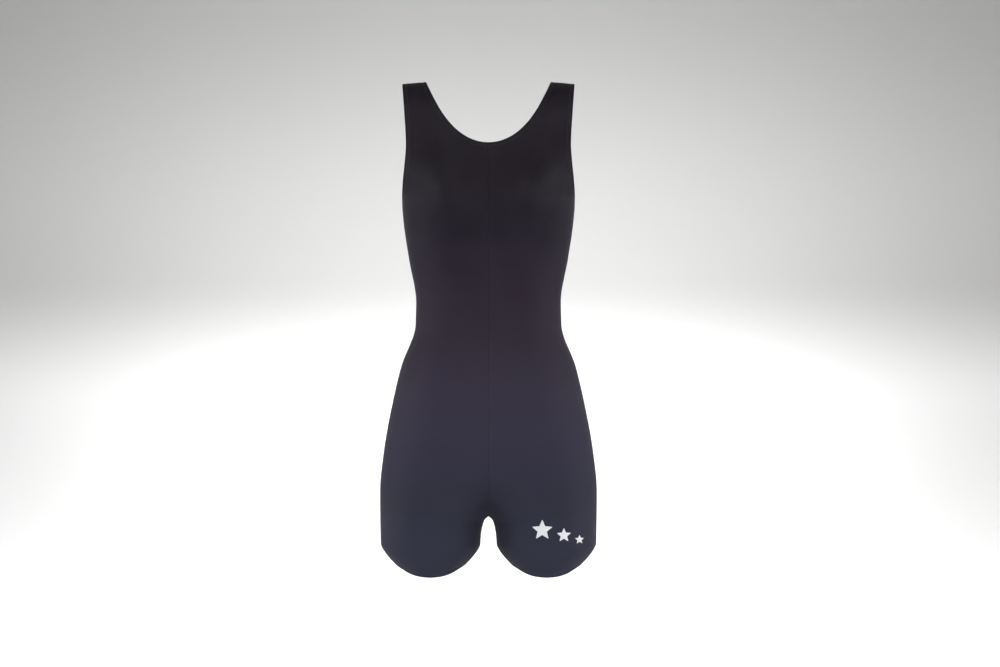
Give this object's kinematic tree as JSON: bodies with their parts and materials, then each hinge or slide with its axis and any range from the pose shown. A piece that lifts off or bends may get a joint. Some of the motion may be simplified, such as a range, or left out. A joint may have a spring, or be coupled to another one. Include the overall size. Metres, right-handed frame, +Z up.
{
  "type": "gymnastics unitard",
  "caption": "Black stretch-knit sleeveless gymnastics unitard with a scoop neck and short legs, shown as worn.",
  "frame": {"origin": "midway between the two shoulders, level with the undersides of the shoulder straps", "axes": "+Z up; -Y is the front of the garment, so +X is the wearer's left"},
  "size_m": [0.3334, 0.2244, 0.759],
  "materials": {
    "knit": "smooth matte stretch knit",
    "lining": "matte power mesh",
    "elastic": "matte",
    "thread": "stitched",
    "tape": "clear",
    "label": "satin",
    "print": "satin heat-set film"
  },
  "bodies": {
    "garment": {"front_panel_left": "knit", "front_panel_right": "knit", "back_panel_left": "knit", "back_panel_right": "knit", "front_lining": "lining", "crotch_lining": "lining", "neck_elastic": "elastic", "armhole_elastic_left": "elastic", "armhole_elastic_right": "elastic", "leg_elastic_left": "elastic", "leg_elastic_right": "elastic", "underbust_elastic": "elastic", "neck_coverstitch": "thread", "armhole_coverstitch_left": "thread", "armhole_coverstitch_right": "thread", "leg_coverstitch_left": "thread", "leg_coverstitch_right": "thread", "centre_front_seam": "thread", "centre_back_seam": "thread", "side_seam_left": "thread", "side_seam_right": "thread", "inseam_left": "thread", "inseam_right": "thread", "shoulder_tape_left": "tape", "shoulder_tape_right": "tape", "label_tack": "thread", "thigh_star_large": "print", "thigh_star_medium": "print", "thigh_star_small": "print"},
    "label": {"neck_label": "label"}
  },
  "joints": [
    {"name": "label_flip", "type": "hinge", "parent": "garment", "child": "label", "pos_m": [0, 0.08442, -0.19053], "axis": [-1, 0, 0], "range_deg": [0, 150]}
  ]
}
